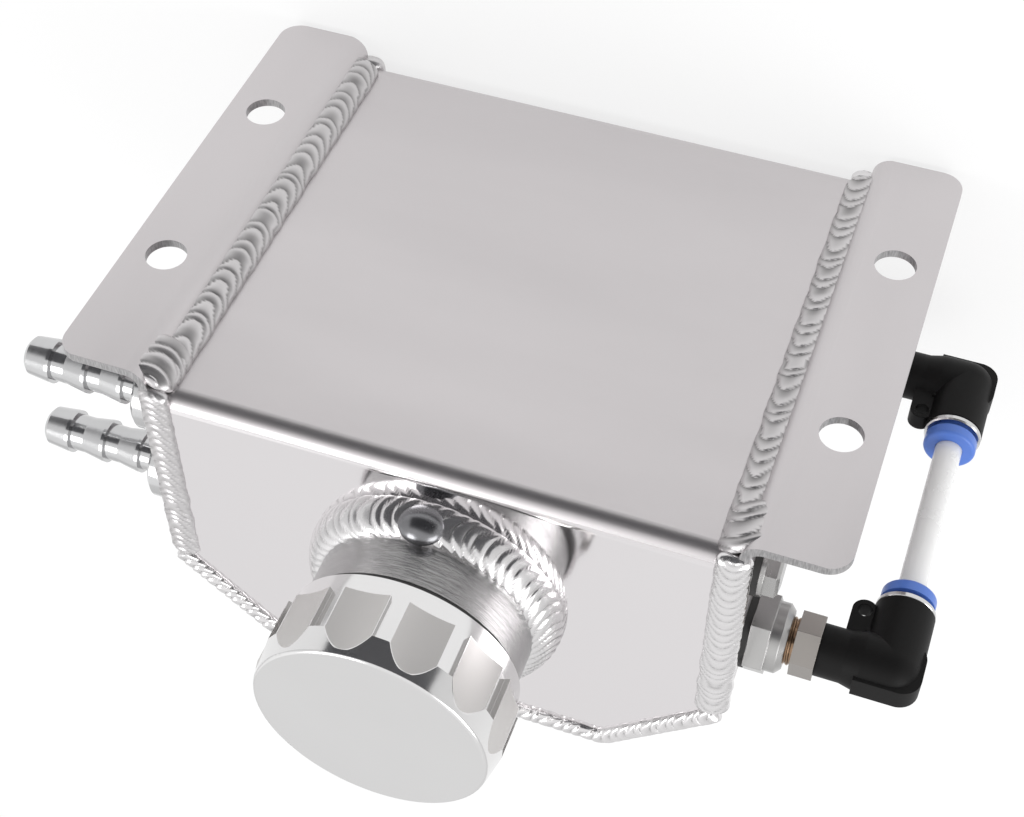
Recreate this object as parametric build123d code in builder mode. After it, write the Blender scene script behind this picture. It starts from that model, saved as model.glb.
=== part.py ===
from build123d import *
from math import cos, hypot, radians, sin, sqrt
import os

# Coolant reservoir for a firewall, standing as it is mounted: the filler cap is up (+Z) and the mounting ears lie
# against the firewall (+Y). The origin is the centre of the four mounting holes, on the ears' back face.

# Sheet-metal body
body_width = 128.0
body_height = 115.0
body_depth = 78.0
sheet = 2.0
shell_bend = 4.0
wrap_bend = 4.5
corner_bend = 4.0
fit_up_gap = 0.1

# Mounting ears
ear_width = 18.5
ear_standoff = 6.0
ear_corner = 5.0
hole_margin = 9.0
hole_spacing_z = 50.0
hole_diameter = 9.0

# Weld beads
back_bead_width = 5.2
back_bead_crown = 0.7
side_bead_width = 7.4
side_bead_height = 4.6
front_bead_width = 4.8
front_bead_height = 3.8
bead_overhang = 0.9
bead_crown = 1.7
neck_bead_leg = 4.4
neck_bead_height = 8.0
neck_bead_crown = 1.3
bung_bead_leg = 1.4

# Filler neck and cap
neck_y = -43.0
neck_diameter = 47.4
neck_bore = 38.0
neck_height = 17.0
neck_spigot = 3.5
cap_height = 19.4
cap_band_diameter = 50.2
cap_band_height = 4.2
cap_diameter = 53.0
cap_face_diameter = 50.2
cap_slot_end = 5.3
cap_face_fillet = 0.8
cap_lobes = 12
cap_first_slot = 25.5
cap_slot_width = 3.6
cap_scallop_depth = 1.1
cap_scallop_radius = 22.0
cap_scallop_width = 12.4
cap_scallop_end = 1.3
cap_thread_depth = 9.0
cap_thread_play = 0.3
cap_hollow_depth = 14.0
cap_skirt_wall = 3.0
gasket_thickness = 1.0
gasket_diameter = 48.4
seat_gap = 0.05

# Ports in both side walls: the flat of each wall runs from a margin behind the back port to one before the front port
port_margin = 14.5
port_spacing = 23.5
panel_clearance = 0.6

# Hose spigots on the left wall
bung_diameter = 17.6
bung_reach = 6.8
bung_inset = 4.0
port_thread = 9.7
thread_gap = 0.05
spigot_length = 28.3
spigot_ridge = 9.8
spigot_root = 8.3
spigot_tip = 8.7
spigot_bore = 5.4
ridge_pitch = 8.75
first_ridge = 6.1
ridge_land = 0.8
ridge_cone = 4.6
tip_round = 0.8

# Sight level on the right wall
lower_port_rise = 20.8
washer_diameter = 16.4
washer_thickness = 1.5
bushing_flats = 16.0
bushing_hex = 4.2
bushing_collar = 3.4
bushing_collar_diameter = 15.0
bushing_thread = 13.1
inner_bung_diameter = 20.0
inner_bung_length = 9.0
stud_gap = 1.5
stud_flats = 12.0
stud_hex = 5.0
stud_bore = 4.6
stud_thread_length = 7.5
journal_diameter = 7.8
journal_length = 8.0
elbow_reach = 30.4
elbow_drop = 14.4
leg_diameter = 11.2
leg_step = 5.4
leg_cone = 3.4
barrel_diameter = 12.8
rib_thickness = 5.2
rib_round = 4.4
rib_overhang = 6.7
web_thickness = 4.0
web_height = 10.5
elbow_bore = 4.0
eyelet_offset_x = 8.0
eyelet_offset_z = 11.3
eyelet_diameter = 5.4
eyelet_hole = 3.0
tube_diameter = 6.0
tube_bore = 4.0
tube_insertion = 14.0
barrel_cavity = 10.0
cavity_depth = 7.0
seal_thickness = 1.8
grab_ring_thickness = 0.7
clamp_ring_length = 1.4
clamp_ring_diameter = 12.7
collet_flange = 2.7
collet_flange_diameter = 11.7
collet_shank_diameter = 9.1
collet_travel = 1.0
collet_rest_gap = 1.1
sliding_gap = 0.08

# Blanked port on the right wall
plug_flange = 1.0
plug_flange_diameter = 13.8
plug_flats = 11.0
plug_hex = 3.0
plug_thread_length = 9.0
plug_washer_diameter = 14.0
plug_washer_thickness = 1.5

# Places that follow from the sizes above
half_width = body_width / 2
top_z = body_height / 2
ear_span = body_width + 2 * ear_width
hole_spacing_x = ear_span - 2 * hole_margin
plate_y = -ear_standoff
front_y = plate_y - body_depth
port_back_y = plate_y - port_margin
port_front_y = port_back_y - port_spacing
front_chamfer = port_front_y - port_margin - front_y
port_height = top_z - sheet - inner_bung_diameter / 2 - panel_clearance
lower_port_height = -top_z + lower_port_rise
neck_top = top_z + neck_height
cap_base = neck_top + gasket_thickness + 2 * seat_gap
cap_top = cap_base + cap_height
hex_x = half_width + washer_thickness
stud_x = hex_x + bushing_hex + bushing_collar + stud_gap
leg_x = stud_x + stud_hex
elbow_x = half_width + elbow_reach
barrel_end = elbow_drop
clamp_end = barrel_end + clamp_ring_length
flange_start = clamp_end + collet_rest_gap
tube_stop = flange_start + collet_flange - tube_insertion


def half_outline(inset):
    """Wall x, chamfer start y, chamfer end x and front y of the body, moved in by inset from its outer faces."""
    leg = front_chamfer - inset * (2 - sqrt(2))
    wall = half_width - inset
    front = front_y + inset
    return wall, front + leg, wall - leg, front


def keep(builder, name):
    """Labels a finished piece and writes its file."""
    builder.part.label = name
    export_step(builder.part, f"parts/{name}.step")


def across(x, y, z):
    """Plane square to X at a point, whose own x runs along +Y and whose own y runs along +Z."""
    return Plane(origin=(x, y, z), x_dir=(0, 1, 0), z_dir=(1, 0, 0))


os.makedirs("parts", exist_ok=True)

# Side wrap: ear, wall, chamfer, front, chamfer, wall and ear in one bent sheet
wall_mid, chamfer_mid_y, chamfer_mid_x, front_mid = half_outline(sheet / 2)
ear_mid_y = -sheet / 2
with BuildPart() as wrap_sheet:
    with BuildSketch(Plane.XY.offset(-top_z)):
        with BuildLine() as wrap_line:
            FilletPolyline(
                (-ear_span / 2, ear_mid_y),
                (-wall_mid, ear_mid_y),
                (-wall_mid, chamfer_mid_y),
                (-chamfer_mid_x, front_mid),
                (chamfer_mid_x, front_mid),
                (wall_mid, chamfer_mid_y),
                (wall_mid, ear_mid_y),
                (ear_span / 2, ear_mid_y),
                radius=[
                    wrap_bend - sheet / 2,
                    corner_bend - sheet / 2,
                    corner_bend - sheet / 2,
                    corner_bend - sheet / 2,
                    corner_bend - sheet / 2,
                    wrap_bend - sheet / 2,
                ],
            )
        trace(line_width=sheet)
    extrude(amount=body_height)
    ear_tips = wrap_sheet.edges().filter_by(Axis.Y).filter_by(lambda edge: abs(edge.center().X) > ear_span / 2 - 0.1)
    fillet(ear_tips, radius=ear_corner)
    with Locations(Plane.XZ.offset(-sheet)):
        with GridLocations(hole_spacing_x, hole_spacing_z, 2, 2):
            Hole(radius=hole_diameter / 2, depth=3 * sheet)
    for port_y in (port_back_y, port_front_y):
        with Locations(across(-half_width, port_y, port_height)):
            Cylinder(bung_diameter / 2 + fit_up_gap, 4 * sheet, mode=Mode.SUBTRACT)
    for port_z in (port_height, lower_port_height):
        with Locations(across(half_width, port_front_y, port_z)):
            Cylinder(bushing_thread / 2 + fit_up_gap, 4 * sheet, mode=Mode.SUBTRACT)
    with Locations(across(half_width, port_back_y, port_height)):
        Cylinder(port_thread / 2 + fit_up_gap, 4 * sheet, mode=Mode.SUBTRACT)
keep(wrap_sheet, "wrap_sheet")

# Shell: top panel, back plate and bottom panel in one bent sheet, let in between the walls of the wrap
seat = sheet + fit_up_gap
wall_in, chamfer_in_y, chamfer_in_x, front_in = half_outline(seat)
with BuildPart() as shell_sheet:
    with BuildSketch(Plane.YZ):
        with BuildLine():
            FilletPolyline(
                (front_in, top_z - sheet / 2),
                (plate_y - sheet / 2, top_z - sheet / 2),
                (plate_y - sheet / 2, -top_z + sheet / 2),
                (front_in, -top_z + sheet / 2),
                radius=shell_bend - sheet / 2,
            )
        trace(line_width=sheet)
    extrude(amount=half_width, both=True)
    with BuildSketch(Plane.XY.offset(-top_z)) as panel_outline:
        Polygon(
            (-wall_in, 0),
            (-wall_in, chamfer_in_y),
            (-chamfer_in_x, front_in),
            (chamfer_in_x, front_in),
            (wall_in, chamfer_in_y),
            (wall_in, 0),
            align=None,
        )
        fillet(panel_outline.vertices().filter_by(lambda corner: corner.Y < -1), radius=corner_bend - sheet)
    extrude(amount=body_height, mode=Mode.INTERSECT)
    with Locations((0, neck_y, top_z)):
        Cylinder(neck_diameter / 2 + fit_up_gap, 4 * sheet, mode=Mode.SUBTRACT)
keep(shell_sheet, "shell_sheet")

# Fillet beads between the back plate and the round of each ear's bend
bend_x = half_width - sheet + wrap_bend
wall_face = half_width - sheet
touch_angle = radians(120)
touch_x = bend_x + wrap_bend * cos(touch_angle)
touch_y = -wrap_bend + wrap_bend * sin(touch_angle)
toe_x = wall_face - back_bead_width + (touch_x - wall_face)
chord = hypot(touch_x - toe_x, touch_y - plate_y)
crown_x = (touch_x + toe_x) / 2 - back_bead_crown * (touch_y - plate_y) / chord
crown_y = (touch_y + plate_y) / 2 + back_bead_crown * (touch_x - toe_x) / chord
back_bead_half = top_z - shell_bend
with BuildPart() as back_weld_right:
    with BuildSketch(Plane.XY.offset(-back_bead_half)):
        with BuildLine():
            Line((toe_x, plate_y), (wall_face, plate_y))
            Line((wall_face, plate_y), (wall_face, -wrap_bend))
            ThreePointArc(
                (wall_face, -wrap_bend),
                (bend_x - wrap_bend * cos(radians(30)), -wrap_bend + wrap_bend * sin(radians(30))),
                (touch_x, touch_y),
            )
            ThreePointArc((touch_x, touch_y), (crown_x, crown_y), (toe_x, plate_y))
        make_face()
    extrude(amount=2 * back_bead_half)
keep(back_weld_right, "back_weld_right")

with BuildPart() as back_weld_left:
    mirror(back_weld_right.part, about=Plane.YZ)
keep(back_weld_left, "back_weld_left")

# Wide beads over the seam of each panel with the side walls, and narrow ones along the chamfers and the front
wall_out, chamfer_y, chamfer_x, front_out = half_outline(0)
side_bead_start = plate_y - shell_bend
with BuildPart() as right_side_weld:
    with BuildSketch(Plane.XZ.offset(-side_bead_start)):
        with Locations((half_width + bead_overhang - side_bead_width / 2, top_z + bead_crown - side_bead_height / 2)):
            Ellipse(side_bead_width / 2, side_bead_height / 2)
        with Locations((half_width, top_z)):
            Rectangle(2 * side_bead_width, 2 * side_bead_height, align=(Align.MAX, Align.MAX), mode=Mode.SUBTRACT)
    extrude(amount=side_bead_start - chamfer_y)
with BuildPart() as top_side_welds:
    add(right_side_weld.part)
    mirror(right_side_weld.part, about=Plane.YZ)
keep(top_side_welds, "top_side_welds")

with BuildPart() as top_front_weld:
    with BuildLine() as front_seam:
        FilletPolyline(
            (wall_out, chamfer_y - fit_up_gap, top_z),
            (chamfer_x, front_out, top_z),
            (-chamfer_x, front_out, top_z),
            (-wall_out, chamfer_y - fit_up_gap, top_z),
            radius=corner_bend,
        )
    with BuildSketch(Plane(origin=front_seam.line @ 0, x_dir=(1, -1, 0), z_dir=front_seam.line % 0)):
        with Locations((bead_overhang - front_bead_width / 2, bead_crown - front_bead_height / 2)):
            Ellipse(front_bead_width / 2, front_bead_height / 2)
        Rectangle(
            2 * front_bead_width,
            2 * front_bead_height,
            align=(Align.MAX, Align.MAX),
            mode=Mode.SUBTRACT,
        )
    sweep(path=front_seam.line)
    add(top_side_welds.part, mode=Mode.SUBTRACT)
keep(top_front_weld, "top_front_weld")

with BuildPart() as bottom_side_welds:
    mirror(top_side_welds.part, about=Plane.XY)
keep(bottom_side_welds, "bottom_side_welds")

with BuildPart() as bottom_front_weld:
    mirror(top_front_weld.part, about=Plane.XY)
keep(bottom_front_weld, "bottom_front_weld")

# Filler neck: a turned ring let through the top panel, with its bead
neck_axis = Axis((0, neck_y, 0), (0, 0, 1))
neck_plane = Plane(origin=(0, neck_y, 0), x_dir=(1, 0, 0), z_dir=(0, -1, 0))
neck_r = neck_diameter / 2
bore_r = neck_bore / 2
with BuildPart() as filler_neck:
    with BuildSketch(neck_plane):
        with Locations((bore_r, top_z - neck_spigot)):
            Rectangle(neck_r - bore_r, neck_height + neck_spigot, align=(Align.MIN, Align.MIN))
    revolve(axis=neck_axis)
    rims = filler_neck.edges().filter_by(GeomType.CIRCLE).group_by(Axis.Z)[-1]
    chamfer(rims, length=0.5)
keep(filler_neck, "filler_neck")

with BuildPart() as neck_weld:
    with BuildSketch(neck_plane):
        foot = (neck_r + neck_bead_leg, top_z)
        head = (neck_r, top_z + neck_bead_height)
        slope = hypot(neck_bead_leg, neck_bead_height)
        with BuildLine():
            Line((neck_r, top_z), foot)
            ThreePointArc(
                foot,
                (
                    (foot[0] + head[0]) / 2 + neck_bead_crown * neck_bead_height / slope,
                    (foot[1] + head[1]) / 2 + neck_bead_crown * neck_bead_leg / slope,
                ),
                head,
            )
            Line(head, (neck_r, top_z))
        make_face()
    revolve(axis=neck_axis)
keep(neck_weld, "neck_weld")

# Gasket and billet cap, whose thread runs in the neck's bore
skirt_r = bore_r - cap_thread_play
with BuildPart() as cap_gasket:
    with Locations((0, neck_y, neck_top + seat_gap)):
        Cylinder(gasket_diameter / 2, gasket_thickness, align=(Align.CENTER, Align.CENTER, Align.MIN))
        Cylinder(
            skirt_r + cap_thread_play,
            gasket_thickness,
            align=(Align.CENTER, Align.CENTER, Align.MIN),
            mode=Mode.SUBTRACT,
        )
keep(cap_gasket, "cap_gasket")

band_r = cap_band_diameter / 2
lobe_r = cap_diameter / 2
face_r = cap_face_diameter / 2
lobe_start = cap_base + cap_band_height
taper_start = cap_top - cap_slot_end
lobe_pitch = 360 / cap_lobes

# One finger scallop: a shallow concave cut with a round end, which runs out of the lobe's lower edge
scallop_end = cap_top - cap_scallop_end - cap_scallop_width / 2
with BuildPart() as scallop_cut:
    with BuildSketch(Plane(origin=(face_r / 2, neck_y, lobe_start), x_dir=(0, 0, 1), z_dir=(1, 0, 0))):
        Rectangle(scallop_end - lobe_start, cap_scallop_width, align=(Align.MIN, Align.CENTER))
        with Locations((scallop_end - lobe_start, 0)):
            Circle(cap_scallop_width / 2)
    extrude(amount=cap_diameter / 2)
    with Locations((lobe_r - cap_scallop_depth + cap_scallop_radius, neck_y, lobe_start)):
        Cylinder(cap_scallop_radius, 3 * cap_height, mode=Mode.INTERSECT)

with BuildPart() as filler_cap:
    with BuildSketch(neck_plane):
        with BuildLine():
            Polyline(
                (0, cap_top - cap_hollow_depth),
                (skirt_r - cap_skirt_wall, cap_top - cap_hollow_depth),
                (skirt_r - cap_skirt_wall, cap_base - cap_thread_depth),
                (skirt_r, cap_base - cap_thread_depth),
                (skirt_r, cap_base),
                (band_r, cap_base),
                (band_r, lobe_start),
                (lobe_r, lobe_start),
                (lobe_r, taper_start),
                (face_r, cap_top),
                (0, cap_top),
                close=True,
            )
        make_face()
    revolve(axis=neck_axis)
    fillet(filler_cap.edges().filter_by(GeomType.CIRCLE).group_by(Axis.Z)[-1], radius=cap_face_fillet)
    for lobe in range(cap_lobes):
        slot_angle = cap_first_slot + lobe * lobe_pitch
        radial = Vector(cos(radians(slot_angle)), sin(radians(slot_angle)), 0)
        slot_plane = Plane(origin=Vector(0, neck_y, lobe_start) + radial * band_r, x_dir=(0, 0, 1), z_dir=radial)
        with BuildSketch(slot_plane):
            Rectangle(taper_start - lobe_start, cap_slot_width, align=(Align.MIN, Align.CENTER))
        extrude(amount=cap_diameter / 4, mode=Mode.SUBTRACT)
    for lobe in range(cap_lobes):
        lobe_angle = cap_first_slot + (lobe + 0.5) * lobe_pitch
        add(scallop_cut.part.rotate(neck_axis, lobe_angle), mode=Mode.SUBTRACT)
keep(filler_cap, "filler_cap")

# Weld bungs and three-ridge hose spigots on the left wall
bung_face = -half_width - bung_reach
bung_r = bung_diameter / 2
port_r = port_thread / 2
with BuildPart() as barb_bungs:
    for port_y in (port_back_y, port_front_y):
        with Locations(across(bung_face, port_y, port_height)):
            Cylinder(bung_r, bung_reach + bung_inset, align=(Align.CENTER, Align.CENTER, Align.MIN))
            Cylinder(
                port_r + thread_gap,
                bung_reach + bung_inset,
                align=(Align.CENTER, Align.CENTER, Align.MIN),
                mode=Mode.SUBTRACT,
            )
    chamfer(barb_bungs.edges().filter_by(GeomType.CIRCLE).group_by(Axis.X)[0].sort_by(SortBy.RADIUS)[-2:], 0.8)
keep(barb_bungs, "barb_bungs")

with BuildPart() as barb_bung_welds:
    for port_y in (port_back_y, port_front_y):
        with BuildSketch(Plane(origin=(-half_width, port_y, port_height), x_dir=(-1, 0, 0), z_dir=(0, 1, 0))):
            with BuildLine():
                Polyline((0, bung_r), (bung_bead_leg, bung_r), (0, bung_r + bung_bead_leg), close=True)
            make_face()
        revolve(axis=Axis((0, port_y, port_height), (1, 0, 0)))
keep(barb_bung_welds, "barb_bung_welds")

ridge_r = spigot_ridge / 2
root_r = spigot_root / 2
tip_r = spigot_tip / 2
for barb_name, port_y in (("hose_barb_back", port_back_y), ("hose_barb_front", port_front_y)):
    # The profile runs from the thread's inner end, through the ridges, to the open tip
    barb_plane = Plane(origin=(bung_face, port_y, port_height), x_dir=(-1, 0, 0), z_dir=(0, 1, 0))
    with BuildPart() as hose_barb:
        with BuildSketch(barb_plane):
            ridge_starts = [spigot_length - first_ridge - ridge_pitch * step for step in (2, 1, 0)]
            points = [(-bung_reach, spigot_bore / 2), (-bung_reach, port_r), (0, port_r), (0, root_r)]
            for start in ridge_starts:
                points += [(start - ridge_land / 2, root_r), (start - ridge_land / 2, ridge_r)]
                points += [(start + ridge_land / 2, ridge_r)]
                if start != ridge_starts[-1]:
                    points += [(start + ridge_land / 2 + ridge_cone, root_r)]
            points += [(spigot_length - tip_round, tip_r), (spigot_length, tip_r - tip_round)]
            points += [(spigot_length, spigot_bore / 2)]
            with BuildLine():
                Polyline(*points, close=True)
            make_face()
        revolve(axis=Axis((0, port_y, port_height), (1, 0, 0)))
    keep(hose_barb, barb_name)

# Threaded bungs welded inside the right wall, for both sight ports and the blanked one
inner_face = half_width - sheet - fit_up_gap
with BuildPart() as port_bungs:
    for port_y, port_z, thread_d in (
        (port_front_y, port_height, bushing_thread),
        (port_front_y, lower_port_height, bushing_thread),
        (port_back_y, port_height, port_thread),
    ):
        with Locations(across(inner_face, port_y, port_z)):
            Cylinder(inner_bung_diameter / 2, inner_bung_length, align=(Align.CENTER, Align.CENTER, Align.MAX))
            Cylinder(
                thread_d / 2 + thread_gap,
                inner_bung_length,
                align=(Align.CENTER, Align.CENTER, Align.MAX),
                mode=Mode.SUBTRACT,
            )
keep(port_bungs, "port_bungs")

# Blanked port: hex plug on its sealing washer
with BuildPart() as plug_washer:
    with BuildSketch(across(half_width, port_back_y, port_height)):
        Circle(plug_washer_diameter / 2)
        Circle(port_r + thread_gap, mode=Mode.SUBTRACT)
    extrude(amount=plug_washer_thickness)
keep(plug_washer, "plug_washer")

plug_x = half_width + plug_washer_thickness
with BuildPart() as port_plug:
    with BuildSketch(across(plug_x, port_back_y, port_height)):
        Circle(plug_flange_diameter / 2)
    extrude(amount=plug_flange)
    with BuildSketch(across(plug_x + plug_flange, port_back_y, port_height)):
        RegularPolygon(plug_flats / 2, 6, major_radius=False)
    extrude(amount=plug_hex)
    chamfer(port_plug.faces().sort_by(Axis.X)[-1].edges(), length=0.6)
    with BuildSketch(across(plug_x, port_back_y, port_height)):
        Circle(port_r)
    extrude(amount=-plug_thread_length)
keep(port_plug, "port_plug")

# Sight level: the same fittings twice, joined by one straight tube. Each barrel points at the other port.
tube_r = tube_diameter / 2
thread_r = bushing_thread / 2
for level, port_z, turn in (("upper", port_height, -1), ("lower", lower_port_height, 1)):
    barrel = Plane(origin=(elbow_x, port_front_y, port_z), x_dir=(1, 0, 0), z_dir=(0, 0, turn))

    with BuildPart() as port_washer:
        with BuildSketch(across(half_width, port_front_y, port_z)):
            Circle(washer_diameter / 2)
            Circle(thread_r + thread_gap, mode=Mode.SUBTRACT)
        extrude(amount=washer_thickness)
    keep(port_washer, f"{level}_port_washer")

    with BuildPart() as bushing:
        with BuildSketch(across(hex_x, port_front_y, port_z)):
            RegularPolygon(bushing_flats / 2, 6, major_radius=False, rotation=30)
        extrude(amount=bushing_hex)
        with BuildSketch(across(hex_x + bushing_hex, port_front_y, port_z)):
            Circle(bushing_collar_diameter / 2)
        extrude(amount=bushing_collar)
        chamfer(bushing.faces().sort_by(Axis.X)[-1].edges(), length=1.2)
        with BuildSketch(across(hex_x, port_front_y, port_z)):
            Circle(thread_r)
        extrude(amount=-(washer_thickness + sheet + inner_bung_length))
        with Locations(across(hex_x + bushing_hex + bushing_collar, port_front_y, port_z)):
            Cylinder(
                port_r + thread_gap,
                stud_thread_length,
                align=(Align.CENTER, Align.CENTER, Align.MAX),
                mode=Mode.SUBTRACT,
            )
            Cylinder(stud_bore / 2, 10 * stud_thread_length, mode=Mode.SUBTRACT)
    keep(bushing, f"{level}_bushing")

    with BuildPart() as elbow_stud:
        with BuildSketch(across(stud_x, port_front_y, port_z)):
            RegularPolygon(stud_flats / 2, 6, major_radius=False, rotation=14)
        extrude(amount=stud_hex)
        with BuildSketch(across(stud_x, port_front_y, port_z)):
            Circle(port_r)
        extrude(amount=-stud_thread_length)
        with BuildSketch(across(leg_x, port_front_y, port_z)):
            Circle(journal_diameter / 2)
        extrude(amount=journal_length)
        with Locations(across(leg_x, port_front_y, port_z)):
            Cylinder(stud_bore / 2, 6 * stud_thread_length, mode=Mode.SUBTRACT)
    keep(elbow_stud, f"{level}_elbow_stud")

    leg_run = elbow_x - leg_x - thread_gap
    side = Plane(origin=(elbow_x, port_front_y, port_z), x_dir=(1, 0, 0), z_dir=(0, -turn, 0))
    with BuildPart() as elbow_body:
        # Flat rib round the outer corner, in the plane of the two legs
        with BuildSketch(side):
            Rectangle(2 * rib_overhang, 2 * rib_overhang)
            fillet(vertices().sort_by(Axis.X)[-2:], radius=rib_round)
        extrude(amount=rib_thickness / 2, both=True)
        # Stepped leg on the stud, a round corner, and the barrel
        with BuildSketch(side):
            with BuildLine():
                Polyline(
                    (-leg_run, 0),
                    (-leg_run, leg_diameter / 2),
                    (-leg_run + leg_step, leg_diameter / 2),
                    (-leg_run + leg_step + leg_cone, barrel_diameter / 2),
                    (0, barrel_diameter / 2),
                    (0, 0),
                    close=True,
                )
            make_face()
        revolve(axis=Axis((elbow_x, port_front_y, port_z), (1, 0, 0)))
        with Locations((elbow_x, port_front_y, port_z)):
            Sphere(barrel_diameter / 2)
        with BuildSketch(barrel):
            Circle(barrel_diameter / 2)
        extrude(amount=barrel_end)
        # Web in the inner corner, with the eyelet that a screw can pass through
        with BuildSketch(side):
            with BuildLine():
                Polyline(
                    (0, 0),
                    (-eyelet_offset_x - eyelet_diameter / 2, 0),
                    (-eyelet_offset_x - eyelet_diameter / 2, eyelet_offset_z),
                    (-eyelet_offset_x, eyelet_offset_z),
                    (0, web_height),
                    close=True,
                )
            make_face()
            with Locations((-eyelet_offset_x, eyelet_offset_z)):
                Circle(eyelet_diameter / 2)
            with Locations((-eyelet_offset_x, eyelet_offset_z)):
                Circle(eyelet_hole / 2, mode=Mode.SUBTRACT)
        extrude(amount=web_thickness / 2, both=True)
        with Locations(barrel.offset(barrel_end)):
            Cylinder(
                barrel_cavity / 2,
                cavity_depth,
                align=(Align.CENTER, Align.CENTER, Align.MAX),
                mode=Mode.SUBTRACT,
            )
        with Locations(barrel.offset(clamp_end)):
            Cylinder(
                tube_r + thread_gap,
                clamp_end - tube_stop,
                align=(Align.CENTER, Align.CENTER, Align.MAX),
                mode=Mode.SUBTRACT,
            )
            Cylinder(
                stud_bore / 2,
                clamp_end + stud_bore / 2,
                align=(Align.CENTER, Align.CENTER, Align.MAX),
                mode=Mode.SUBTRACT,
            )
        with Locations(across(leg_x, port_front_y, port_z)):
            Cylinder(
                journal_diameter / 2 + thread_gap,
                journal_length + thread_gap,
                align=(Align.CENTER, Align.CENTER, Align.MIN),
                mode=Mode.SUBTRACT,
            )
            Cylinder(
                elbow_bore / 2,
                leg_run,
                align=(Align.CENTER, Align.CENTER, Align.MIN),
                mode=Mode.SUBTRACT,
            )
    keep(elbow_body, f"{level}_elbow_body")

    cavity_floor = barrel_end - cavity_depth
    with BuildPart() as tube_seal:
        with BuildSketch(barrel.offset(cavity_floor)):
            Circle(barrel_cavity / 2 - thread_gap)
            Circle(tube_r + thread_gap, mode=Mode.SUBTRACT)
        extrude(amount=seal_thickness)
    keep(tube_seal, f"{level}_tube_seal")

    with BuildPart() as grab_ring:
        with BuildSketch(barrel.offset(cavity_floor + seal_thickness + fit_up_gap)):
            Circle(barrel_cavity / 2 - thread_gap)
            Circle(tube_r + thread_gap, mode=Mode.SUBTRACT)
        extrude(amount=grab_ring_thickness)
    keep(grab_ring, f"{level}_grab_ring")

    with BuildPart() as clamp_ring:
        with BuildSketch(barrel.offset(barrel_end)):
            Circle(clamp_ring_diameter / 2)
            Circle(collet_shank_diameter / 2 + sliding_gap, mode=Mode.SUBTRACT)
        extrude(amount=clamp_ring_length)
        chamfer(clamp_ring.edges().filter_by(GeomType.CIRCLE).sort_by(SortBy.RADIUS)[-2:], length=0.3)
    keep(clamp_ring, f"{level}_clamp_ring")

    shank_foot = cavity_floor + seal_thickness + fit_up_gap + grab_ring_thickness + collet_travel + sliding_gap
    with BuildPart() as collet:
        with BuildSketch(barrel.offset(shank_foot)):
            Circle(collet_shank_diameter / 2)
        extrude(amount=flange_start - shank_foot)
        with BuildSketch(barrel.offset(flange_start)):
            Circle(collet_flange_diameter / 2)
        extrude(amount=collet_flange)
        fillet(collet.edges().filter_by(GeomType.CIRCLE).group_by(Axis.Z)[0 if turn < 0 else -1], radius=0.8)
        with BuildSketch(barrel.offset(shank_foot)):
            Circle(tube_r + sliding_gap)
        extrude(amount=flange_start + collet_flange - shank_foot, mode=Mode.SUBTRACT)
    keep(collet, f"{level}_collet")

# The sight tube, pushed through both collets and seals up to the stop in each elbow
tube_top = port_height - tube_stop - thread_gap
tube_foot = lower_port_height + tube_stop + thread_gap
with BuildPart() as sight_tube:
    with BuildSketch(Plane(origin=(elbow_x, port_front_y, tube_foot))):
        Circle(tube_r)
        Circle(tube_bore / 2, mode=Mode.SUBTRACT)
    extrude(amount=tube_top - tube_foot)
keep(sight_tube, "sight_tube")
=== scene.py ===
import bmesh
import bpy
from math import cos, pi, sin
from mathutils import Matrix, Vector


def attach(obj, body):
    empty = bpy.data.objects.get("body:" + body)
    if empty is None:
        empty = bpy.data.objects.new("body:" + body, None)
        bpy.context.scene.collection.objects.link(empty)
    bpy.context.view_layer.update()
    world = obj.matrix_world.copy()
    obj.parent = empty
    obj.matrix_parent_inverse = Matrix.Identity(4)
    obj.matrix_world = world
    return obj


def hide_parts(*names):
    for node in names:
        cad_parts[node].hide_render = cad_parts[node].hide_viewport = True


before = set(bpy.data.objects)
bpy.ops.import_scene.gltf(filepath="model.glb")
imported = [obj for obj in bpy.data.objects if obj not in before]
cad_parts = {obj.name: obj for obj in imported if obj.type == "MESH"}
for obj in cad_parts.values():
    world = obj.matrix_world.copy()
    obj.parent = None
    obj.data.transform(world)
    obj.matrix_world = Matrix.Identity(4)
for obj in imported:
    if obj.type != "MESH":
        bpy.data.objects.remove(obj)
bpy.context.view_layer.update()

# The camera stands where the photograph was taken from: behind the mounting ears and above the cap, with the
# tank lying on its front. Its place and lens come from a fit to the ears, the holes, the panel and the cap.
mm = 0.001
photo_width = 1024
focal_pixels = 1810.82
sensor_width = 36.0
camera_right = Vector((0.9402, 0.0005, -0.3407)).normalized()
camera_up = Vector((-0.2578, 0.6549, -0.7104)).normalized()
camera_back = camera_right.cross(camera_up).normalized()
camera_up = camera_back.cross(camera_right)
camera_place = Vector((90.413, 270.506, 261.115)) * mm
camera_lens = bpy.data.cameras.new("photo_camera")
camera_lens.sensor_width = sensor_width
camera_lens.lens = sensor_width * focal_pixels / photo_width
photo_camera = bpy.data.objects.new("photo_camera", camera_lens)
photo_camera.matrix_world = Matrix.Translation(camera_place) @ Matrix(
    (camera_right, camera_up, camera_back)
).transposed().to_4x4()
bpy.context.collection.objects.link(photo_camera)
bpy.context.scene.camera = photo_camera
bpy.context.scene.view_settings.view_transform = "Standard"

# Studio: a white sweep under the tank, an even white room, three soft lamps, and the dark of the room behind
# the camera, which polished metal shows as a dark band wherever it faces the lens.
floor_height = -59.4 * mm
floor_half = 3.0
floor_glow = 0.72
floor_colour = (0.86, 0.86, 0.86, 1)
room_below = -0.5
room_above = 0.9
room_strength_below = 0.62
room_strength_above = 0.98
cloth_colour = (0.09, 0.09, 0.095, 1)
white = (1, 1, 1, 1)


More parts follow.
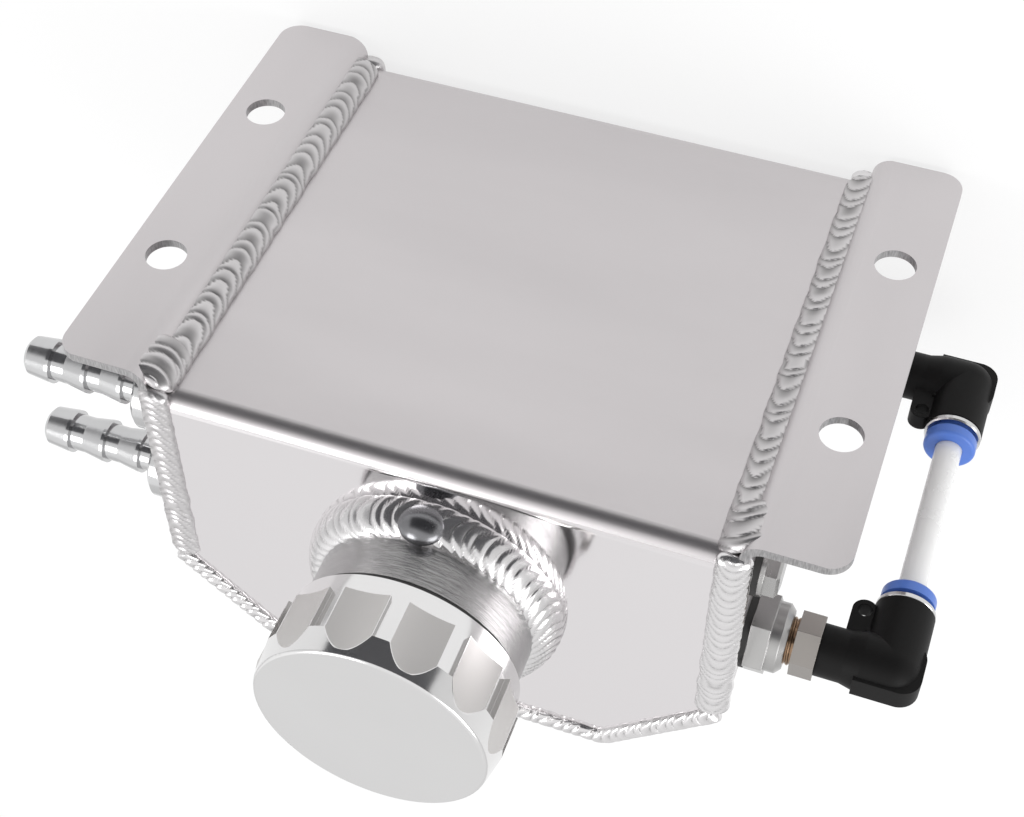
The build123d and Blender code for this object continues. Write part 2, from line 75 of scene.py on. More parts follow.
def flat_sheet(name, corners):
    """A single four-sided sheet through the given corners."""
    mesh = bpy.data.meshes.new(name)
    mesh.from_pydata(corners, [], [(0, 1, 2, 3)])
    sheet = bpy.data.objects.new(name, mesh)
    bpy.context.collection.objects.link(sheet)
    return sheet


def plain_nodes(owner):
    """The node tree of a material or world, emptied, with its output node."""
    owner.use_nodes = True
    owner.node_tree.nodes.clear()
    kind = "ShaderNodeOutputWorld" if isinstance(owner, bpy.types.World) else "ShaderNodeOutputMaterial"
    return owner.node_tree, owner.node_tree.nodes.new(kind)


def feed(tree, socket, value):
    """Links a value's node to a socket, or writes a plain value into it."""
    if isinstance(value, bpy.types.NodeSocket):
        tree.links.new(value, socket)
    else:
        socket.default_value = value


def sum_of(tree, operation, first, second=0.0, third=0.0, clamp=False):
    """Output of one math node."""
    node = tree.nodes.new("ShaderNodeMath")
    node.operation = operation
    node.use_clamp = clamp
    for index, value in enumerate((first, second, third)):
        feed(tree, node.inputs[index], value)
    return node.outputs[0]


def ranged(tree, value, low, high, to_low=0.0, to_high=1.0):
    """A value carried from one range to another, and held at the ends."""
    node = tree.nodes.new("ShaderNodeMapRange")
    feed(tree, node.inputs["Value"], value)
    feed(tree, node.inputs["From Min"], low)
    feed(tree, node.inputs["From Max"], high)
    feed(tree, node.inputs["To Min"], to_low)
    feed(tree, node.inputs["To Max"], to_high)
    return node.outputs["Result"]


def axes_of(tree, place):
    """A place's three lengths, by the names X, Y and Z."""
    node = tree.nodes.new("ShaderNodeSeparateXYZ")
    tree.links.new(place, node.inputs[0])
    return node.outputs


def blended(tree, share, first, second):
    """Output of a mix of two shaders."""
    node = tree.nodes.new("ShaderNodeMixShader")
    feed(tree, node.inputs["Fac"], share)
    tree.links.new(first, node.inputs[1])
    tree.links.new(second, node.inputs[2])
    return node.outputs[0]


studio_floor = flat_sheet(
    "studio_floor",
    [(x * floor_half, y * floor_half, floor_height) for x, y in ((-1, -1), (1, -1), (1, 1), (-1, 1))],
)
white_sweep = bpy.data.materials.new("white_sweep")
tree, output = plain_nodes(white_sweep)
rays = tree.nodes.new("ShaderNodeLightPath")
facing = tree.nodes.new("ShaderNodeNewGeometry")
matt = tree.nodes.new("ShaderNodeBsdfDiffuse")
matt.inputs["Color"].default_value = floor_colour
glow = tree.nodes.new("ShaderNodeEmission")
glow.inputs["Color"].default_value = white
clear = tree.nodes.new("ShaderNodeBsdfTransparent")
seen = sum_of(tree, "ADD", rays.outputs["Is Camera Ray"], rays.outputs["Is Glossy Ray"], clamp=True)
seen = sum_of(tree, "ADD", seen, rays.outputs["Is Transmission Ray"], clamp=True)
glow_share = sum_of(tree, "MULTIPLY", seen, floor_glow)
upper_side = blended(tree, glow_share, matt.outputs[0], glow.outputs[0])
both_sides = blended(tree, facing.outputs["Backfacing"], upper_side, clear.outputs[0])
tree.links.new(both_sides, output.inputs["Surface"])
studio_floor.data.materials.append(white_sweep)

room = bpy.data.worlds.new("white_room")
bpy.context.scene.world = room
tree, output = plain_nodes(room)
direction = axes_of(tree, tree.nodes.new("ShaderNodeTexCoord").outputs["Generated"])
rays = tree.nodes.new("ShaderNodeLightPath")
lit = tree.nodes.new("ShaderNodeBackground")
lit.inputs["Color"].default_value = white
strength = ranged(tree, direction["Z"], room_below, room_above, room_strength_below, room_strength_above)
tree.links.new(strength, lit.inputs["Strength"])
backdrop = tree.nodes.new("ShaderNodeBackground")
backdrop.inputs["Color"].default_value = white
around_tank = blended(tree, rays.outputs["Is Camera Ray"], lit.outputs[0], backdrop.outputs[0])
tree.links.new(around_tank, output.inputs["Surface"])

for lamp_name, lamp_place, lamp_size, lamp_power in (
    ("key_softbox", (0.66, -0.10, 0.62), 0.55, 3.4),
    ("fill_softbox", (-0.75, -0.35, 0.60), 0.9, 0.5),
    ("top_softbox", (-0.36, -0.02, 0.74), 0.34, 1.7),
):
    lamp = bpy.data.lights.new(lamp_name, "AREA")
    lamp.size = lamp_size
    lamp.energy = lamp_power
    lamp_object = bpy.data.objects.new(lamp_name, lamp)
    lamp_object.location = lamp_place
    lamp_object.rotation_mode = "QUATERNION"
    lamp_object.rotation_quaternion = Vector(lamp_place).to_track_quat("Z", "Y")
    bpy.context.collection.objects.link(lamp_object)

dark_room = flat_sheet(
    "dark_room",
    [(0.34, 0.30, -0.058), (-0.42, 0.34, -0.058), (-0.40, 0.27, 0.34), (0.34, 0.23, 0.34)],
)
dark_room.visible_camera = False
dark_room.visible_shadow = False
dark_room.visible_diffuse = False
dark_room.visible_transmission = False
dark_cloth = bpy.data.materials.new("dark_cloth")
tree, output = plain_nodes(dark_cloth)
cloth = tree.nodes.new("ShaderNodeBsdfDiffuse")
cloth.inputs["Color"].default_value = cloth_colour
tree.links.new(cloth.outputs[0], output.inputs["Surface"])
dark_room.data.materials.append(dark_cloth)

# Sheet metal: the shell's top, back and bottom are one sheet bent into a U, and the wrap with both ears is another.
# Both are 2 mm aluminium with a brushed satin face. The flat panel round the neck is polished nearly to a mirror,
# and the polish ends within half a millimetre of where the bend starts.
sheet_thickness = 2.0 * mm
panel_level = 57.5 * mm
polish_fades = 0.45 * mm
polish_full = 0.02 * mm
polished_colour = (0.81, 0.785, 0.795, 1)
polished_roughness = 0.085
satin = {
    "colour": (0.64, 0.612, 0.62, 1),
    "worn": (0.60, 0.575, 0.582, 1),
    "smooth": 0.30,
    "rough": 0.42,
    "size": 2600.0,
}


def mixed(tree, kind, share, first, second):
    """Output of a mix of two colours, kind RGBA, or of two numbers, kind FLOAT."""
    node = tree.nodes.new("ShaderNodeMix")
    node.data_type = kind
    feed(tree, node.inputs["Factor"], share)
    feed(tree, node.inputs["A"], first)
    feed(tree, node.inputs["B"], second)
    return node.outputs["Result"]


def noise_of(tree, place, scale, detail, roughness=0.5):
    """Output of a noise texture over the given place."""
    node = tree.nodes.new("ShaderNodeTexNoise")
    feed(tree, node.inputs["Scale"], scale)
    node.inputs["Detail"].default_value = detail
    node.inputs["Roughness"].default_value = roughness
    tree.links.new(place, node.inputs["Vector"])
    return node.outputs["Fac"]


def stretched(tree, place, scale):
    """A place scaled along each axis, so that a pattern read there is drawn out in one direction."""
    node = tree.nodes.new("ShaderNodeMapping")
    node.inputs["Scale"].default_value = scale
    tree.links.new(place, node.inputs["Vector"])
    return node.outputs["Vector"]


def place_on(tree):
    """The place on the piece that a material is asked about."""
    return tree.nodes.new("ShaderNodeTexCoord").outputs["Object"]


def surface_grain():
    """Fine grain of worked metal or moulded plastic: roughness that wanders between two values, and a height."""
    cloud_size = 38.0
    fine_share = 0.45
    group = bpy.data.node_groups.new("surface_grain", "ShaderNodeTree")
    face = group.interface
    for name, kind, start in (
        ("Place", "NodeSocketVector", (0, 0, 0)),
        ("Grain Size", "NodeSocketFloat", 900.0),
        ("Smooth", "NodeSocketFloat", 0.25),
        ("Rough", "NodeSocketFloat", 0.4),
        ("Colour", "NodeSocketColor", (0.6, 0.6, 0.6, 1)),
        ("Worn Colour", "NodeSocketColor", (0.5, 0.5, 0.5, 1)),
    ):
        face.new_socket(name=name, in_out="INPUT", socket_type=kind).default_value = start
    face.new_socket(name="Colour", in_out="OUTPUT", socket_type="NodeSocketColor")
    face.new_socket(name="Roughness", in_out="OUTPUT", socket_type="NodeSocketFloat")
    face.new_socket(name="Height", in_out="OUTPUT", socket_type="NodeSocketFloat")
    given = group.nodes.new("NodeGroupInput").outputs
    result = group.nodes.new("NodeGroupOutput").inputs
    fine = noise_of(group, given["Place"], given["Grain Size"], 4.0, 0.65)
    cloudy = noise_of(group, given["Place"], cloud_size, 3.0)
    both = sum_of(group, "MULTIPLY_ADD", fine, fine_share, cloudy)
    tint = mixed(group, "RGBA", cloudy, given["Colour"], given["Worn Colour"])
    group.links.new(tint, result["Colour"])
    group.links.new(ranged(group, both, 0.45, 1.0, given["Smooth"], given["Rough"]), result["Roughness"])
    group.links.new(fine, result["Height"])
    return group


grain = surface_grain()


def worked_surface(
    name,
    colour,
    worn,
    smooth,
    rough,
    size,
    depth,
    stretch=(1, 1, 1),
    metallic=1.0,
    soften=0.0,
    relief=0.35,
):
    """A material whose colour, roughness and fine bump all come from the shared grain."""
    surface = bpy.data.materials.new(name)
    tree, output = plain_nodes(surface)
    finish = tree.nodes.new("ShaderNodeBsdfPrincipled")
    finish.inputs["Metallic"].default_value = metallic
    laid = tree.nodes.new("ShaderNodeGroup")
    laid.node_tree = grain
    tree.links.new(stretched(tree, place_on(tree), stretch), laid.inputs["Place"])
    laid.inputs["Grain Size"].default_value = size
    laid.inputs["Smooth"].default_value = smooth
    laid.inputs["Rough"].default_value = rough
    laid.inputs["Colour"].default_value = colour
    laid.inputs["Worn Colour"].default_value = worn
    bump = tree.nodes.new("ShaderNodeBump")
    bump.inputs["Strength"].default_value = relief
    bump.inputs["Distance"].default_value = depth
    tree.links.new(laid.outputs["Colour"], finish.inputs["Base Color"])
    tree.links.new(laid.outputs["Roughness"], finish.inputs["Roughness"])
    tree.links.new(laid.outputs["Height"], bump.inputs["Height"])
    tree.links.new(bump.outputs["Normal"], finish.inputs["Normal"])
    tree.links.new(finish.outputs["BSDF"], output.inputs["Surface"])
    if soften:
        edge = tree.nodes.new("ShaderNodeBevel")
        edge.samples = 6
        edge.inputs["Radius"].default_value = soften
        tree.links.new(edge.outputs["Normal"], bump.inputs["Normal"])
    return surface


def finish_of(surface):
    """Inputs of the shader that gives a material its finish."""
    return next(node for node in surface.node_tree.nodes if node.type == "BSDF_PRINCIPLED").inputs


def lay_over(surface, share, colour, roughness=None):
    """Lays another colour, and another roughness where one is given, over a material's own by the given share."""
    tree = surface.node_tree
    own = next(node for node in tree.nodes if node.type == "GROUP").outputs
    tree.links.new(mixed(tree, "RGBA", share, own["Colour"], colour), finish_of(surface)["Base Color"])
    if roughness is not None:
        dulled = mixed(tree, "FLOAT", share, own["Roughness"], roughness)
        tree.links.new(dulled, finish_of(surface)["Roughness"])


def dress(surface, *names):
    """Gives a finished CAD piece its material in every slot."""
    for name in names:
        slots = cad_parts[name].data.materials
        if len(slots) == 0:
            slots.append(surface)
        for index in range(len(slots)):
            slots[index] = surface


# The wrap's ears: their cut edges and the walls of their holes stay as the laser left them, darker and dull, with
# fine lines across the sheet. The faces are told from the edges by how deep a place lies in the 2 mm sheet.
flat_ear_start = 68.0 * mm
edge_margin = 0.06 * mm
line_scale = (3200, 500, 3200)
scorched = (0.12, 0.118, 0.12, 1)
freshly_cut = (0.66, 0.65, 0.655, 1)
satin_sheet = worked_surface("satin_sheet", **satin, depth=0.010 * mm, stretch=(1, 1, 0.25))
tree = satin_sheet.node_tree
place = place_on(tree)
axes = axes_of(tree, place)
on_ear = sum_of(tree, "GREATER_THAN", sum_of(tree, "ABSOLUTE", axes["X"]), flat_ear_start)
off_back = sum_of(tree, "LESS_THAN", axes["Y"], -edge_margin)
off_front = sum_of(tree, "GREATER_THAN", axes["Y"], edge_margin - sheet_thickness)
on_end = sum_of(tree, "GREATER_THAN", sum_of(tree, "ABSOLUTE", axes["Z"]), panel_level - edge_margin)
behind_face = sum_of(tree, "MULTIPLY", on_ear, off_back)
cut_edge = sum_of(tree, "MULTIPLY_ADD", behind_face, off_front, on_end, clamp=True)
laser_lines = noise_of(tree, stretched(tree, place, line_scale), 1.0, 2.0)
lay_over(satin_sheet, cut_edge, mixed(tree, "RGBA", laser_lines, scorched, freshly_cut))
dress(satin_sheet, "wrap_sheet")

shell_finish = worked_surface("satin_and_polished_sheet", **satin, depth=0.008 * mm, stretch=(0.25, 1, 1))
tree = shell_finish.node_tree
height = axes_of(tree, place_on(tree))["Z"]
polish = ranged(tree, height, panel_level - polish_fades, panel_level - polish_full)
lay_over(shell_finish, polish, polished_colour, polished_roughness)
dress(shell_finish, "shell_sheet")

# Weld beads: TIG filler laid in overlapping crescents, each a small step up and a slope down to the next. Wide on
# the side seams and behind the ears, narrow along the chamfers and the front, and round the foot of the neck.
ripple_seed = 7
# Where the valley or lap mark lies, the filler's colour is painted darker: painted shade in the creases between and
# down the ripples, laid with a duller roughness.
crease_shade_colour = (0.16, 0.155, 0.155, 1)
crease_shade_roughness = 0.55


def vector_of(tree, operation, first, second=None, scale=None):
    """Output of one vector math node."""
    node = tree.nodes.new("ShaderNodeVectorMath")
    node.operation = operation
    feed(tree, node.inputs[0], first)
    if second is not None:
        feed(tree, node.inputs[1], second)
    if scale is not None:
        feed(tree, node.inputs["Scale"], scale)
    return node.outputs["Value" if operation == "LENGTH" else "Vector"]


def tree_with(name, inputs):
    """A geometry node tree with named inputs, and what its first node gives and its last node takes."""
    tree = bpy.data.node_groups.new(name, "GeometryNodeTree")
    face = tree.interface
    face.new_socket(name="Geometry", in_out="INPUT", socket_type="NodeSocketGeometry")
    for label, kind in inputs:
        face.new_socket(name=label, in_out="INPUT", socket_type=kind)
    face.new_socket(name="Geometry", in_out="OUTPUT", socket_type="NodeSocketGeometry")
    given = tree.nodes.new("NodeGroupInput").outputs
    result = tree.nodes.new("NodeGroupOutput").inputs
    return tree, given, result


def flat_skin(tree, steps_along, steps_round):
    """A flat grid to roll up: its mesh, each point's place lengthwise from -0.5 to 0.5, and its angle round."""
    skin = tree.nodes.new("GeometryNodeMeshGrid")
    skin.inputs["Size X"].default_value = 1.0
    skin.inputs["Size Y"].default_value = 1.0
    skin.inputs["Vertices Y"].default_value = steps_round
    tree.links.new(steps_along, skin.inputs["Vertices X"])
    axes = axes_of(tree, tree.nodes.new("GeometryNodeInputPosition").outputs["Position"])
    around = sum_of(tree, "MULTIPLY_ADD", axes["Y"], 2 * pi, pi)
    return skin.outputs["Mesh"], axes["X"], around


def marked(tree, mesh, label, value):
    """Stores a value on the points of a mesh, under a name that the filler's material reads."""
    store = tree.nodes.new("GeometryNodeStoreNamedAttribute")
    store.data_type = "FLOAT"
    store.domain = "POINT"
    store.inputs["Name"].default_value = label
    tree.links.new(mesh, store.inputs["Geometry"])
    tree.links.new(value, store.inputs["Value"])
    return store.outputs["Geometry"]


def rolled_up(tree, mesh, place, closing_gap, metal, result):
    """Moves a skin's points to their places, closes its seam, and gives it its metal."""
    moved = tree.nodes.new("GeometryNodeSetPosition")
    tree.links.new(place, moved.inputs["Position"])
    closed = tree.nodes.new("GeometryNodeMergeByDistance")
    closed.inputs["Distance"].default_value = closing_gap
    smooth = tree.nodes.new("GeometryNodeSetShadeSmooth")
    whole = tree.nodes.new("GeometryNodeRealizeInstances")
    coated = tree.nodes.new("GeometryNodeSetMaterial")
    tree.links.new(metal, coated.inputs["Material"])
    for node in (moved, closed, smooth, whole, coated):
        tree.links.new(mesh, node.inputs["Geometry"])
        mesh = node.outputs["Geometry"]
    tree.links.new(mesh, result["Geometry"])


def bead_nodes():
    """Geometry nodes that sweep a rippled half-round bead along a line of edges."""
    corner_steps = 12
    steps_round = 41
    ripples_per_sway = 1.7
    sway_of_ripples = 2.2
    sway_of_width = 0.35
    ripple_front = 0.55
    ripple_fullness = 0.7
    lap_fade = 1.8
    nose_of_width = 0.6
    tree, given, result = tree_with(
        "weld_bead",
        (
            ("Pitch", "NodeSocketFloat"),
            ("Step", "NodeSocketFloat"),
            ("Half Width", "NodeSocketFloat"),
            ("Half Height", "NodeSocketFloat"),
            ("Underside", "NodeSocketFloat"),
            ("Ripple Depth", "NodeSocketFloat"),
            ("Curl", "NodeSocketFloat"),
            ("Corner Radius", "NodeSocketFloat"),
            ("Rounded Ends", "NodeSocketFloat"),
            ("Outward", "NodeSocketVector"),
            ("Round Centre", "NodeSocketVector"),
            ("Round Share", "NodeSocketFloat"),
            ("Unevenness", "NodeSocketFloat"),
            ("Seed", "NodeSocketFloat"),
            ("Filler Metal", "NodeSocketMaterial"),
        ),
    )

    def sums(operation, *values):
        return sum_of(tree, operation, *values)

    def vectors(operation, *values, **more):
        return vector_of(tree, operation, *values, **more)

    # The seam, with its corners rounded, and the skin that is rolled up along it.
    seam = tree.nodes.new("GeometryNodeMeshToCurve")
    corners = tree.nodes.new("GeometryNodeFilletCurve")
    corners.mode = "POLY"
    corners.inputs["Count"].default_value = corner_steps
    corners.inputs["Limit Radius"].default_value = True
    measured = tree.nodes.new("GeometryNodeCurveLength")
    tree.links.new(given["Geometry"], seam.inputs["Mesh"])
    tree.links.new(seam.outputs["Curve"], corners.inputs["Curve"])
    tree.links.new(given["Corner Radius"], corners.inputs["Radius"])
    tree.links.new(corners.outputs["Curve"], measured.inputs["Curve"])
    run = measured.outputs["Length"]
    skin, lengthwise, around = flat_skin(tree, sums("DIVIDE", run, given["Step"]), steps_round)
    along = sums("ADD", lengthwise, 0.5)
    across = sums("COSINE", around)
    rise = sums("SINE", around)

    # Which way the bead lies at each point: across the seam, and out of the sheets that it joins.
    path = tree.nodes.new("GeometryNodeSampleCurve")
    path.mode = "FACTOR"
    path.use_all_curves = True
    tree.links.new(corners.outputs["Curve"], path.inputs["Curves"])
    tree.links.new(along, path.inputs["Factor"])
    on_seam = path.outputs["Position"]
    tangent = path.outputs["Tangent"]
    radial = vectors("NORMALIZE", vectors("SUBTRACT", on_seam, given["Round Centre"]))
    leaning = vectors("ADD", given["Outward"], vectors("SCALE", radial, scale=given["Round Share"]))
    sideways = vectors("NORMALIZE", vectors("CROSS_PRODUCT", tangent, leaning))
    outward = vectors("CROSS_PRODUCT", sideways, tangent)

    # The ripples, whose spacing and width sway a little, as a hand does.
    walked = sums("MULTIPLY", along, run)
    noise = tree.nodes.new("ShaderNodeTexNoise")
    noise.noise_dimensions = "1D"
    noise.inputs["Scale"].default_value = 1.0
    noise.inputs["Detail"].default_value = 1.0
    sway_at = sums("DIVIDE", walked, sums("MULTIPLY", given["Pitch"], ripples_per_sway))
    tree.links.new(sums("ADD", sway_at, given["Seed"]), noise.inputs["W"])
    sway = sums("MULTIPLY", sums("SUBTRACT", noise.outputs["Fac"], 0.5), given["Unevenness"])
    count = sums("ADD", sums("DIVIDE", walked, given["Pitch"]), sums("MULTIPLY", sway, sway_of_ripples))
    curled = sums("MULTIPLY", sums("MULTIPLY", across, across), given["Curl"])
    turn = sums("FRACT", sums("SUBTRACT", count, curled))
    pillow = sums("SINE", sums("MULTIPLY", sums("POWER", turn, ripple_front), pi))
    wave = sums("SUBTRACT", sums("POWER", sums("MAXIMUM", pillow, 0.0), ripple_fullness), 1.0)

    # The ends, rounded off where the run has any.
    off_middle = sums("ABSOLUTE", sums("MULTIPLY_ADD", along, 2.0, -1.0))
    from_end = sums("MULTIPLY", sums("SUBTRACT", 1.0, off_middle), 0.5)
    nose = sums("MULTIPLY", given["Half Width"], nose_of_width)
    near_end = sums("MINIMUM", sums("DIVIDE", sums("MULTIPLY", from_end, run), nose), 1.0)
    arc = sums("MULTIPLY", near_end, sums("SUBTRACT", 2.0, near_end))
    round_end = sums("SQRT", sums("MAXIMUM", arc, 0.0))
    taper = sums("MULTIPLY_ADD", sums("SUBTRACT", round_end, 1.0), given["Rounded Ends"], 1.0)

    # Each point's step to the side and up, from the seam.
    widened = sums("ADD", 1.0, sums("MULTIPLY", sway, sway_of_width))
    width = sums("MULTIPLY", given["Half Width"], widened)
    step_side = sums("MULTIPLY", sums("MULTIPLY", across, width), taper)
    crest = sums("POWER", sums("MAXIMUM", rise, 0.0), 0.5)
    sunk = sums("MULTIPLY", sums("MINIMUM", rise, 0.0), given["Underside"])
    round_rise = sums("ADD", sums("MAXIMUM", rise, 0.0), sunk)
    rippled = sums("MULTIPLY", sums("MULTIPLY", wave, crest), given["Ripple Depth"])
    height = sums("ADD", sums("MULTIPLY", round_rise, given["Half Height"]), rippled)
    step_up = sums("MULTIPLY", height, taper)
    to_side = vectors("SCALE", sideways, scale=step_side)
    to_top = vectors("SCALE", outward, scale=step_up)
    there = vectors("ADD", on_seam, vectors("ADD", to_side, to_top))

    # Both marks, which place the filler's painted shade, are stored before the points move, because they are worked
    # out from the flat skin.
    skin = marked(tree, skin, "valley", sums("MULTIPLY", sums("MULTIPLY", wave, wave), crest))
    skin = marked(tree, skin, "lap", sums("MULTIPLY", sums("POWER", turn, lap_fade), crest))
    rolled_up(tree, skin, there, 0.01 * mm, given["Filler Metal"], result)
    return tree


def grow(name, tree, points, closed, values):
    """Runs a geometry-node tree on a line through the points and keeps the result as a plain mesh."""
    edges = [(index, index + 1) for index in range(len(points) - 1)]
    if closed:
        edges.append((len(points) - 1, 0))
    line = bpy.data.meshes.new(name + "_line")
    line.from_pydata(points, edges, [])
    host = bpy.data.objects.new(name + "_line", line)
    bpy.context.collection.objects.link(host)
    modifier = host.modifiers.new("grow", "NODES")
    modifier.node_group = tree
    for item in tree.interface.items_tree:
        if item.in_out == "INPUT" and item.name in values:
            modifier[item.identifier] = values[item.name]
    bpy.context.view_layer.update()
    grown = host.evaluated_get(bpy.context.evaluated_depsgraph_get())
    mesh = bpy.data.meshes.new_from_object(grown)
    host.modifiers.remove(modifier)
    bpy.data.objects.remove(host)
    mesh.name = name
    piece = bpy.data.objects.new(name, mesh)
    bpy.context.collection.objects.link(piece)
    return piece


def joined(name, pieces):
    """One object made of several meshes that share a body."""
    with bpy.context.temp_override(active_object=pieces[0], selected_editable_objects=pieces):
        bpy.ops.object.join()
    pieces[0].name = name
    pieces[0].data.name = name
    return pieces[0]


def welded(piece, *nodes):
    """Puts a bead in place of its plain solid."""
    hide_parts(*nodes)
    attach(piece, "tank")


def weld_metal(name, colour, worn, smooth, rough, painted_shade, mark="valley"):
    """Filler with painted shade: darker and duller in the valleys between its ripples, or down the lap of each."""
    surface = worked_surface(name, colour, worn, smooth, rough, size=1500.0, depth=0.012 * mm)
    tree = surface.node_tree
    valley = tree.nodes.new("ShaderNodeAttribute")
    valley.attribute_name = mark
    shade_share = sum_of(tree, "MULTIPLY", valley.outputs["Fac"], painted_shade, clamp=True)
    lay_over(surface, shade_share, crease_shade_colour, crease_shade_roughness)
    return surface


filler_metal = weld_metal(
    "weld_filler",
    colour=(0.80, 0.785, 0.79, 1),
    worn=(0.72, 0.71, 0.715, 1),
    smooth=0.16,
    rough=0.26,
    painted_shade=0.45,
)
satin_filler = weld_metal(
    "satin_filler",
    colour=(0.68, 0.66, 0.665, 1),
    worn=(0.60, 0.585, 0.59, 1),
    smooth=0.28,
    rough=0.38,
    painted_shade=0.8,
    mark="lap",
)
dull_filler = weld_metal(
    "dull_filler",
    colour=(0.70, 0.685, 0.69, 1),
    worn=(0.62, 0.605, 0.61, 1),
    smooth=0.34,
    rough=0.44,
    painted_shade=0.28,
    mark="lap",
)
# The lump's filler is coloured dark: a painted dark reflection on its smooth, shiny face.
crater_painted_dark = weld_metal(
    "crater_painted_dark",
    colour=(0.26, 0.26, 0.27, 1),
    worn=(0.20, 0.20, 0.21, 1),
    smooth=0.22,
    rough=0.32,
    painted_shade=0.0,
)
bead_tree = bead_nodes()


def bead(
    name,
    points,
    pitch,
    across,
    proud,
    depth,
    outward,
    closed=False,
    centre=(0, 0, 0),
    round_share=0.0,
    underside=1.0,
    curl=1.25,
    corner=0.0,
    uneven=0.45,
    seed=0,
    metal=filler_metal,
):
    """One run of filler. Lengths are in millimetres; across and proud are half the bead's width and height."""
    step_of_pitch = 0.05
    return grow(
        name,
        bead_tree,
        [Vector(point) * mm for point in points],
        closed,
        {
            "Pitch": pitch * mm,
            "Step": pitch * step_of_pitch * mm,
            "Half Width": across * mm,
            "Half Height": proud * mm,
            "Underside": underside,
            "Ripple Depth": depth * mm,
            "Curl": curl,
            "Corner Radius": corner * mm,
            "Rounded Ends": 0.0 if closed else 1.0,
            "Outward": outward,
            "Round Centre": [value * mm for value in centre],
            "Round Share": round_share,
            "Unevenness": uneven,
            "Seed": float(ripple_seed + seed),
            "Filler Metal": metal,
        },
    )


# The top panel's beads, and the same ones round the bottom panel: one down each side and one round the front. The
# left side's filler is duller, and the front's follows both chamfers in one run.
side_seam_x = 61.2
side_seam_z = 56.9
side_start_y = -4.6
side_end_y = -59.3
front_seam_z = 57.25
chamfer_start = (62.9, -59.2)
chamfer_end = (38.2, -82.4)
for level, word in ((1, "top"), (-1, "bottom")):
    runs = []
    for side in (1, -1):
        ends = [
            (side * side_seam_x, side_end_y, level * side_seam_z),
            (side * side_seam_x, side_start_y, level * side_seam_z),
        ]
        runs.append(
            bead(
                f"{word}_side_run",
                ends[::side],
                pitch=2.35,
                across=3.7,
                proud=2.2,
                depth=0.42,
                outward=(side * 0.15, 0, level),
                curl=1.9,
                seed=3 * side + level,
                metal=filler_metal if side > 0 else dull_filler,
            )
        )
    welded(joined(f"{word}_side_bead", runs), f"{word}_side_welds")
    front_bead = bead(
        f"{word}_front_bead",
        [
            (-chamfer_start[0], chamfer_start[1], level * front_seam_z),
            (-chamfer_end[0], chamfer_end[1], level * front_seam_z),
            (chamfer_end[0], chamfer_end[1], level * front_seam_z),
            (chamfer_start[0], chamfer_start[1], level * front_seam_z),
        ],
        pitch=2.4,
        across=2.35,
        proud=1.9,
        depth=0.62,
        outward=(0, -0.2, level),
        corner=4.0,
        curl=1.0,
        seed=11 + level,
    )
    welded(front_bead, f"{word}_front_weld")

# The back welds: satin fillets between the back plate and the ears' bends, each with a wider overlapping run at the
# end by the cap. Their undersides are flat, so that none shows through the bend.
for side, word in ((1, "right"), (-1, "left")):
    long_run = bead(
        f"back_run_{word}",
        [(side * 60.75, -4.4, 55.2), (side * 60.75, -4.4, -54.8)][::side],
        pitch=3.35,
        across=3.9,
        proud=1.75,
        depth=0.34,
        outward=(-side * 0.45, 1, 0),
        underside=0.25,
        curl=1.5,
        uneven=0.55,
        seed=20 + side,
        metal=satin_filler,
    )
    end_run = bead(
        f"back_end_{word}",
        [(side * 61.9, -3.5, 57.0), (side * 61.5, -3.8, 44.0)][::side],
        pitch=3.0,
        across=5.1,
        proud=2.2,
        depth=0.45,
        outward=(-side * 0.62, 1, 0.1),
        underside=0.2,
        curl=1.0,
        seed=30 + side,
        metal=satin_filler,
    )
    welded(joined(f"back_bead_{word}", [long_run, end_run]), f"back_weld_{word}")

# The neck's weld: one bead round the foot of the neck. Where it ends on its own start, the filler stands in one
# smooth round lump, which is flattened and leans towards the neck.
neck_y = -43.0
ring_radius = 25.4
ring_height = 60.7
ring_steps = 96
ring = bead(
    "neck_ring",
    [
        (
            ring_radius * sin(2 * pi * step / ring_steps),
            neck_y + ring_radius * cos(2 * pi * step / ring_steps),
            ring_height,
        )
        for step in range(ring_steps)
    ],
    pitch=2.55,
    across=4.7,
    proud=2.45,
    depth=0.36,
    outward=(0, 0, 0.55),
    closed=True,
    centre=(0, neck_y, ring_height),
    round_share=1.0,
    curl=1.35,
    uneven=0.35,
    seed=40,
)
lump_x = -0.6
lump_y = neck_y + 26.3
lump_z = 61.9
lump_half_length = 5.0
lump_half_depth = 2.6
lump_half_height = 4.1
lump_narrowing = 0.22
lump_lean = 1.5
lump_rise = 1.7
lump = bpy.data.meshes.new("neck_lump")
shell = bmesh.new()
bmesh.ops.create_uvsphere(shell, u_segments=40, v_segments=24, radius=1.0)
for point in shell.verts:
    drawn_in = 1.0 - lump_narrowing * max(0.0, point.co.y) ** 2
    point.co = Vector(
        (
            (lump_half_length * point.co.x * drawn_in + lump_x) * mm,
            (lump_y + lump_half_depth * point.co.y - lump_lean * point.co.z) * mm,
            (lump_z + lump_rise * point.co.y + lump_half_height * point.co.z * drawn_in) * mm,
        )
    )
for facet in shell.faces:
    facet.smooth = True
bmesh.ops.recalc_face_normals(shell, faces=shell.faces)
shell.to_mesh(lump)
shell.free()
lump.materials.append(crater_painted_dark)
end_lump = bpy.data.objects.new("neck_lump", lump)
bpy.context.collection.objects.link(end_lump)
welded(joined("neck_bead", [ring, end_lump]), "neck_weld")

